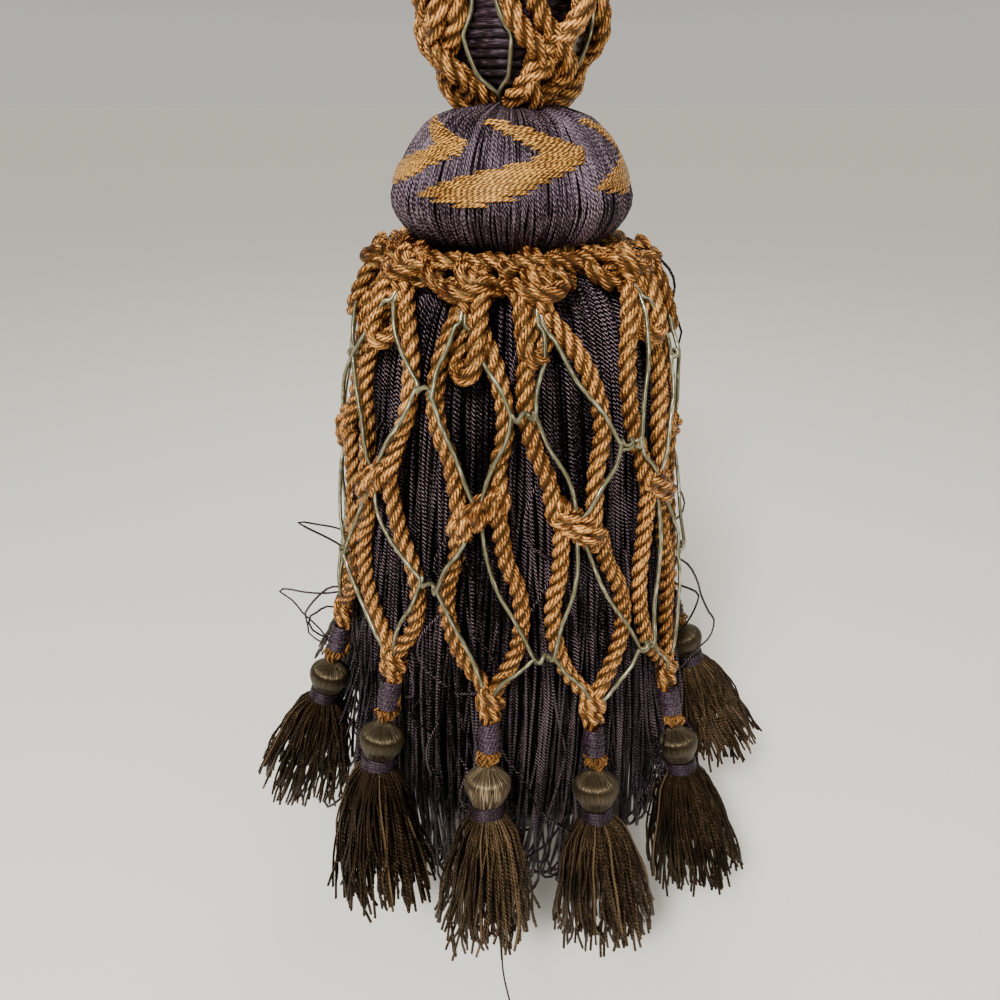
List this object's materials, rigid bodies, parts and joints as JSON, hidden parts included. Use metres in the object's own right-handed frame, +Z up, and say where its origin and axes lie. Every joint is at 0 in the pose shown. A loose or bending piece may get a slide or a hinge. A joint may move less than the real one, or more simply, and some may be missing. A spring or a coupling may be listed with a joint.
{
  "type": "curtain tieback tassel",
  "caption": "Hanging tieback tassel: cord-wrapped ball, silk-covered head, long dark yarn skirt under a knotted rope and gimp net with small tassels at its ends.",
  "frame": {"origin": "middle of the flat on top of the ball, where the tieback cord goes in", "axes": "+Z up along the tassel's axis, -Y to the front of the picture, +X to its right"},
  "size_m": [0.2077, 0.2086, 0.3168],
  "materials": {
    "aubergine_cord": "dark aubergine viscose cord wound in close turns",
    "old_gold_rope": "old-gold viscose rope, twisted, with a silky sheen",
    "olive_gimp": "thin sage gimp, a core closely wound with silk and fine wire",
    "aubergine_silk": "purple silk threads laid side by side, satin",
    "skirt_yarn": "2-ply dark aubergine viscose yarn",
    "hanger_silk": "brown, bronze and olive silk strands"
  },
  "bodies": {
    "root": {"ball": "aubergine_cord", "ball_lacing": "old_gold_rope", "ball_gimp": "olive_gimp", "head": "aubergine_silk", "skirt": "skirt_yarn", "net": "old_gold_rope", "whipping_01": "aubergine_silk", "hanger_01": "hanger_silk", "whipping_02": "aubergine_silk", "hanger_02": "hanger_silk", "whipping_03": "aubergine_silk", "hanger_03": "hanger_silk", "whipping_04": "aubergine_silk", "hanger_04": "hanger_silk", "whipping_05": "aubergine_silk", "hanger_05": "hanger_silk", "whipping_06": "aubergine_silk", "hanger_06": "hanger_silk", "whipping_07": "aubergine_silk", "hanger_07": "hanger_silk", "whipping_08": "aubergine_silk", "hanger_08": "hanger_silk", "whipping_09": "aubergine_silk", "hanger_09": "hanger_silk", "whipping_10": "aubergine_silk", "hanger_10": "hanger_silk"}
  },
  "joints": []
}
